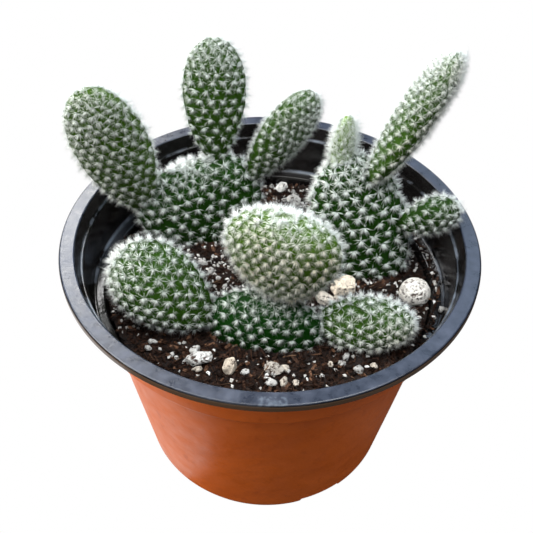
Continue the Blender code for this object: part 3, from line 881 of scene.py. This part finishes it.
def bark_brown(name, dark, light, pale):
    """Dark to light brown by the grain, with one grain in ten or so pale: partly dry bark, partly painted highlight.
    """
    finish, tree, shader, place = new_finish(name, 0.5)
    tone = add_node(tree, "ShaderNodeAttribute", attribute_name="tone").outputs["Fac"]
    streaks = speckle(tree, place, 0.35 * MM, 4, 0.35, 0.7)
    # The palest grains are partly dry bark and partly painted highlight, standing in for glints on the bark.
    plain = mix(tree, ramp(tree, tone, 0.88, 0.99), mix(tree, tone, dark, light), pale)
    tree.links.new(mix(tree, streaks, plain, tuple(0.35 * part for part in dark)), shader.inputs["Base Color"])
    shader.inputs["Specular IOR Level"].default_value = 0.12
    relief(tree, shader, streaks, 0.15 * MM)
    return finish


def perlite_white(name, dark, light):
    finish, tree, shader, place = new_finish(name, 0.85)
    tone = add_node(tree, "ShaderNodeAttribute", attribute_name="tone").outputs["Fac"]
    dirt = speckle(tree, place, 0.6 * MM, 4, 0.55, 0.7)
    plain = mix(tree, tone, dark, light)
    tree.links.new(mix(tree, dirt, plain, (0.16, 0.10, 0.07)), shader.inputs["Base Color"])
    relief(tree, shader, speckle(tree, place, 0.25 * MM, 3), 0.12 * MM)
    return finish


class Litter(NamedTuple):
    """One kind of grain, the share that says where it lies, its sizes in mm and its tilt in degrees."""
    name: str
    count: int
    grain: object
    finish: object
    where: str
    smallest: tuple
    largest: tuple
    tilt: float
    bend: float
    bend_width: float
    lift: float
    seed: int


bark_sliver = bark_brown("bark_sliver", (0.004, 0.0018, 0.0012), (0.042, 0.017, 0.009), (0.19, 0.095, 0.055))
peat_fibre = bark_brown("peat_fibre", (0.010, 0.0045, 0.003), (0.075, 0.033, 0.018), (0.24, 0.14, 0.085))
perlite = perlite_white("perlite", (0.38, 0.37, 0.35), (0.86, 0.86, 0.85))
LITTER = [
    Litter("bark_slivers", SLIVERS, sliver_grain, bark_sliver, "bare",
           (0.7, 0.22, 0.14), (3.6, 0.9, 0.4), 42, 0.9, 1.3, 0.15, 100),
    Litter("peat_fibres", FIBRES, fibre_grain, peat_fibre, "bare",
           (1.5, 0.09, 0.08), (6.0, 0.22, 0.15), 16, 2.0, 2.6, 0.45, 200),
    Litter("perlite_crumbs", PERLITE, crumb_grain, perlite, "chalky",
           (0.12, 0.11, 0.10), (1.0, 0.75, 0.6), 60, 0.7, 0.6, 0.25, 300),
]

litter_area = pi * SOIL_EDGE ** 2
for kind in LITTER:
    scattered = add_piece(kind.name, soil_top())
    tree, names = litter_tree(kind.name, kind.finish, kind.grain, kind.where, kind.seed)
    spread = scattered.modifiers.new("Scatter", "NODES")
    spread.node_group = tree
    spread[names["Density"]] = kind.count / litter_area
    spread[names["Smallest"]] = [size * MM for size in kind.smallest]
    spread[names["Largest"]] = [size * MM for size in kind.largest]
    spread[names["Tilt"]] = radians(kind.tilt)
    spread[names["Bend"]] = kind.bend * MM
    spread[names["Bend width"]] = kind.bend_width * MM
    spread[names["Lift"]] = kind.lift * MM
    settle(scattered, 40)
    keep_inside(scattered.data)
    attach(scattered, "root")

# Loose stones lie on the soil: a round speckled pumice, broken tan limestone and white perlite lumps. Each is
# the solid's dented ball at a finer grain, cut flat where it broke, with pits that hold dark soil.
STONE_PROUD = 0.55
PIT_DEPTH = 0.5
PIT_SIZE = 0.9
BREAK_DEPTHS = (0.55, 0.9)
STONE_DETAIL = 5
CHUNK_DETAIL = 3


class Stone(NamedTuple):
    """A stone, with its place and half sizes in mm, and how many flat breaks it has.

    Tan is its colour's share of tan, light how light it is, and pits the share of it that is pitted.
    """
    name: str
    place: tuple
    half: tuple
    turn: float
    rough: float
    breaks: int
    tan: float
    light: float
    pits: float


STONES = [
    Stone("stone_round_pumice", (47.6, -5.0), (5.1, 4.9, 4.6), 20, 0.06, 0, 0.12, 1.12, 0.40),
    Stone("stone_tan_large", (24.6, -4.6), (4.7, 4.0, 3.9), 35, 0.2, 14, 0.45, 1.15, 0.26),
    Stone("stone_tan_small", (18.3, -9.6), (3.3, 2.8, 2.6), -20, 0.2, 12, 0.3, 1.1, 0.32),
    Stone("stone_white_left", (-20.4, -36.2), (4.3, 3.0, 2.9), 15, 0.22, 12, 0.0, 0.85, 0.36),
    Stone("stone_tan_front", (-10.7, -38.6), (2.8, 2.5, 2.7), 60, 0.18, 11, 0.45, 0.75, 0.15),
    Stone("stone_crumb_front", (1.4, -38.2), (3.6, 2.4, 2.1), -10, 0.24, 12, 0.25, 0.6, 0.45),
    Stone("stone_white_back", (4.4, 49.4), (2.8, 2.4, 2.2), 10, 0.12, 8, 0.0, 1.0, 0.10),
    Stone("stone_grey_back", (8.4, 40.4), (2.6, 2.8, 2.1), 40, 0.2, 9, 0.05, 0.8, 0.30),
]


def flat_breaks(stone):
    """The planes that a stone broke along: for each its direction and its distance from the middle."""
    chance = np.random.default_rng(round(abs(stone.place[0] * 10)))
    directions = chance.normal(size=(stone.breaks, 3))
    return [(Vector(one).normalized(), chance.uniform(*BREAK_DEPTHS)) for one in directions]


def stone_shape(stone, detail):
    """A closed ball in metres, dented, broken flat and pitted, with a layer that says how deep each pit is."""
    x, y = stone.place[0] * MM, stone.place[1] * MM
    ground = max(soil_height(x, y), LEDGE_TOP if hypot(x, y) > WALL_AT_LEDGE else 0)
    centre = Vector((x, y, ground + STONE_PROUD * stone.half[2] * MM))
    seed = Vector((*stone.place, 0))
    breaks = flat_breaks(stone)
    shape = bmesh.new()
    pitted = shape.verts.layers.float.new("pitted")
    bmesh.ops.create_icosphere(shape, subdivisions=detail, radius=1.0)
    for vertex in shape.verts:
        direction = vertex.co.normalized()
        reaches = [depth / max(direction.dot(normal), 0.01) for normal, depth in breaks]
        dent = 1 + stone.rough * noise.noise(direction * 1.7 + seed)
        chips = 0.05 * noise.noise(direction * 4.5 + seed) + 0.03 * noise.noise(direction * 11 + seed)
        place_mm = Vector([part * size for part, size in zip(direction, stone.half)])
        crowded = 0.5 * noise.noise(direction * 1.3 - seed)
        coarse = noise.noise(place_mm / PIT_SIZE + seed)
        fine = noise.noise(place_mm * 2.6 / PIT_SIZE + seed)
        pit = 0.75 * coarse + 0.6 * fine - 0.46 + stone.pits - crowded
        vertex[pitted] = min(1.0, max(0.0, pit * 5))
        grow = min([dent, *reaches]) + stone.rough * 2.5 * chips - PIT_DEPTH / max(stone.half) * vertex[pitted]
        vertex.co = place_mm * MM * grow
    shape.transform(Matrix.Translation(centre) @ Matrix.Rotation(radians(stone.turn), 4, "Z"))
    return shape


def stone_finish(name, tan, light):
    """Dull rock: white to sand, clouded, with dark soil in its pits and fine dark specks."""
    finish, tree, shader, place = new_finish(name, 0.85)
    white = np.array((0.78, 0.77, 0.75))
    sand = np.array((0.72, 0.50, 0.26))
    pale = (white + (sand - white) * tan) * light
    pit = add_node(tree, "ShaderNodeAttribute", attribute_name="pitted").outputs["Fac"]
    patches = speckle(tree, place, 1.8 * MM, 4, 0.35, 0.65)
    specks = speckle(tree, place, 0.5 * MM, 3, 0.60, 0.66)
    plain = mix(tree, patches, tuple(pale * 0.7), tuple(pale * 1.05))
    dirty = mix(tree, specks, plain, tuple(pale * 0.35))
    tree.links.new(mix(tree, pit, dirty, (0.045, 0.022, 0.014)), shader.inputs["Base Color"])
    relief(tree, shader, speckle(tree, place, 0.3 * MM, 4), 0.15 * MM)
    return finish


for stone in STONES:
    mesh = mesh_from(stone_shape(stone, STONE_DETAIL), stone.name + "_surface")
    rock = add_piece(stone.name + "_surface", mesh, stone_finish(stone.name + "_rock", stone.tan, stone.light))
    rock.data.shade_smooth()
    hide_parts(stone.name)
    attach(rock, "root")

# Larger lumps of perlite and grit lie among the bark, part of the soil. Each is a small broken ball,
# placed one by one: its place, length and width in mm.
WHITE_LUMPS = [
    (-34.8, -29.1, 3.0, 1.7), (-28.8, -33.8, 2.1, 1.5), (-27.2, -34.9, 1.9, 1.3), (-6.6, -40.0, 2.6, 2.0),
    (1.8, -40.0, 2.2, 1.8), (0.9, -43.0, 4.0, 2.4), (12.2, -35.4, 1.6, 1.4), (14.2, -35.0, 1.6, 1.2),
    (16.2, -39.9, 1.9, 1.6), (11.4, -40.0, 1.3, 1.1), (-32.6, -31.6, 1.3, 1.0), (-31.5, -24.8, 1.3, 1.1),
    (-49.0, -12.6, 3.8, 3.0), (-17.0, -0.4, 2.2, 1.8), (-14.3, -3.8, 2.0, 1.6), (-12.8, -4.1, 1.8, 1.5),
    (54.9, -13.5, 2.8, 2.2), (7.8, 47.1, 2.6, 2.0), (9.2, 43.3, 2.4, 1.8), (5.3, 41.5, 2.8, 1.9),
    (-21.9, -32.8, 4.4, 3.0), (-24.6, -31.8, 2.4, 1.3), (12.0, 38.5, 1.8, 1.4), (3.0, 38.0, 2.0, 1.5),
]
GREY_LUMPS = [
    (22.4, -35.2, 2.6, 2.0), (23.6, -33.0, 3.0, 2.2), (27.2, -37.4, 3.3, 2.8), (-36.1, -31.8, 2.3, 2.1),
    (0.2, 50.2, 2.0, 1.7), (-22.4, 6.5, 3.5, 2.4), (-19.5, 2.7, 3.3, 2.5), (29.1, 11.5, 1.3, 1.1),
]
TAN_LUMPS = [
    (-20.6, -39.7, 3.2, 2.3), (5.3, -37.6, 2.2, 3.3), (8.6, -42.7, 2.9, 2.2), (18.8, -35.9, 2.0, 3.2),
    (5.0, -42.5, 3.4, 2.8), (32.0, -35.4, 2.6, 1.8), (21.6, -8.4, 3.0, 2.4),
]


def add_lumps(name, places, tan, light, pits):
    """The lumps of one colour, joined in one mesh, each turned by its place in the list."""
    joined = bmesh.new()
    for index, (x, y, length, width) in enumerate(places):
        half = (length * 0.56, width * 0.56, (length + width) * 0.25)
        lump = Stone(name, (x, y), half, index * 67, 0.25, 10, tan, light, pits)
        mesh = mesh_from(stone_shape(lump, CHUNK_DETAIL), name)
        joined.from_mesh(mesh)
        bpy.data.meshes.remove(mesh)
    lumps = add_piece(name, mesh_from(joined, name), stone_finish(name, tan, light))
    lumps.data.shade_smooth()
    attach(lumps, "root")


add_lumps("white_lumps", WHITE_LUMPS, 0.0, 0.7, 0.25)
add_lumps("grey_lumps", GREY_LUMPS, 0.0, 0.5, 0.2)
add_lumps("tan_lumps", TAN_LUMPS, 0.35, 0.75, 0.2)

# The stage: a white floor that only the camera sees, so that it throws no light up at the pot, and two glows on
# the table that only show as a sheen on the pot. Windows stand at the left, high on the left and at the back left,
# and weak ones at the front, the back right and the right, in a dim surround.
def add_card(name, low, high, strength):
    """A flat glowing card between two corners, in metres."""
    shape = bmesh.new()
    corners = ((low[0], low[1]), (high[0], low[1]), (high[0], high[1]), (low[0], high[1]))
    shape.faces.new([shape.verts.new((x, y, low[2])) for x, y in corners])
    finish, tree, shader, place = new_finish(name, 1.0)
    shader.inputs["Base Color"].default_value = (0, 0, 0, 1)
    shader.inputs["Specular IOR Level"].default_value = 0
    shader.inputs["Emission Color"].default_value = (1, 1, 1, 1)
    shader.inputs["Emission Strength"].default_value = strength
    card = add_piece(name, mesh_from(shape, name), finish)
    card.visible_diffuse = False
    card.visible_shadow = False
    return card


floor = add_card("floor", (-3.0, -3.0, 0.0), (3.0, 3.0, 0.0), 1.0)
floor.visible_glossy = False
glow_left = add_card("table_glow_left", (-0.40, -0.06, -0.001), (-0.03, 0.40, -0.001), 1.05)
glow_left.visible_camera = False
glow_right = add_card("table_glow_right", (0.05, -0.10, -0.001), (0.40, 0.30, -0.001), 0.07)
glow_right.visible_camera = False

surround = bpy.data.worlds.new("surround")
surround.use_nodes = True
surround.cycles_visibility.glossy = False
direction = add_node(surround.node_tree, "ShaderNodeTexCoord").outputs["Generated"]
rise = add_node(surround.node_tree, "ShaderNodeSeparateXYZ", {0: direction}).outputs["Z"]
glow = mix(surround.node_tree, ramp(surround.node_tree, rise, -0.2, 0.5), (0.22, 0.21, 0.20), (0.21, 0.22, 0.24))
surround.node_tree.links.new(glow, surround.node_tree.nodes["Background"].inputs["Color"])
bpy.context.scene.world = surround
bpy.context.scene.view_settings.view_transform = "Standard"


def add_light(name, compass, height, size, power, color):
    """A square window 0.75 m from the pot's rim, at a compass angle and a height in degrees, facing the pot."""
    light = bpy.data.lights.new(name, "AREA")
    light.size = size
    light.energy = power
    light.color = color
    made = bpy.data.objects.new(name, light)
    bpy.context.scene.collection.objects.link(made)
    away = Vector((cos(radians(compass)) * cos(radians(height)), sin(radians(compass)) * cos(radians(height)),
                   sin(radians(height))))
    made.location = Vector((0, 0, 80 * MM)) + away * 0.75
    made.rotation_euler = (-away).to_track_quat("-Z", "Y").to_euler()


add_light("window_left", 190, 33, 0.42, 6.8, (1.0, 0.99, 0.95))
add_light("window_high_left", 192, 68, 0.50, 5.2, (1.0, 1.0, 0.98))
add_light("window_front", 250, 20, 0.50, 0.4, (1.0, 0.98, 0.95))
add_light("window_back_left", 118, 39, 0.28, 3.8, (1.0, 1.0, 1.0))
add_light("window_back_right", 60, 42, 0.34, 1.0, (0.62, 0.78, 1.0))
add_light("window_right", 330, 68, 0.40, 6.0, (0.94, 0.98, 1.0))

# The camera looks down on the pot from the front, about 250 mm from the middle of its rim.
VIEW_FROM = 44.62
VIEW_ROLL = 1.51
VIEW_DISTANCE = 251.1 * MM
VIEW_ASIDE = -1.0 * MM
VIEW_ABOVE = -10.1 * MM
LENS = 54.03

elevation = radians(VIEW_FROM)
backward = Vector((0, -cos(elevation), sin(elevation)))
right = Vector((1, 0, 0))
upward = backward.cross(right)
camera = bpy.data.objects.new("camera", bpy.data.cameras.new("camera"))
camera.data.lens = LENS
camera.data.sensor_width = 36
camera.data.clip_start = 10 * MM
bpy.context.scene.collection.objects.link(camera)
aimed_at = Vector((0, 0, POT_HEIGHT)) + right * VIEW_ASIDE + upward * VIEW_ABOVE
camera.location = aimed_at + backward * VIEW_DISTANCE
turned_view = Matrix.Rotation(radians(VIEW_ROLL), 3, backward) @ Matrix((right, upward, backward)).transposed()
camera.rotation_euler = turned_view.to_euler()
bpy.context.scene.camera = camera
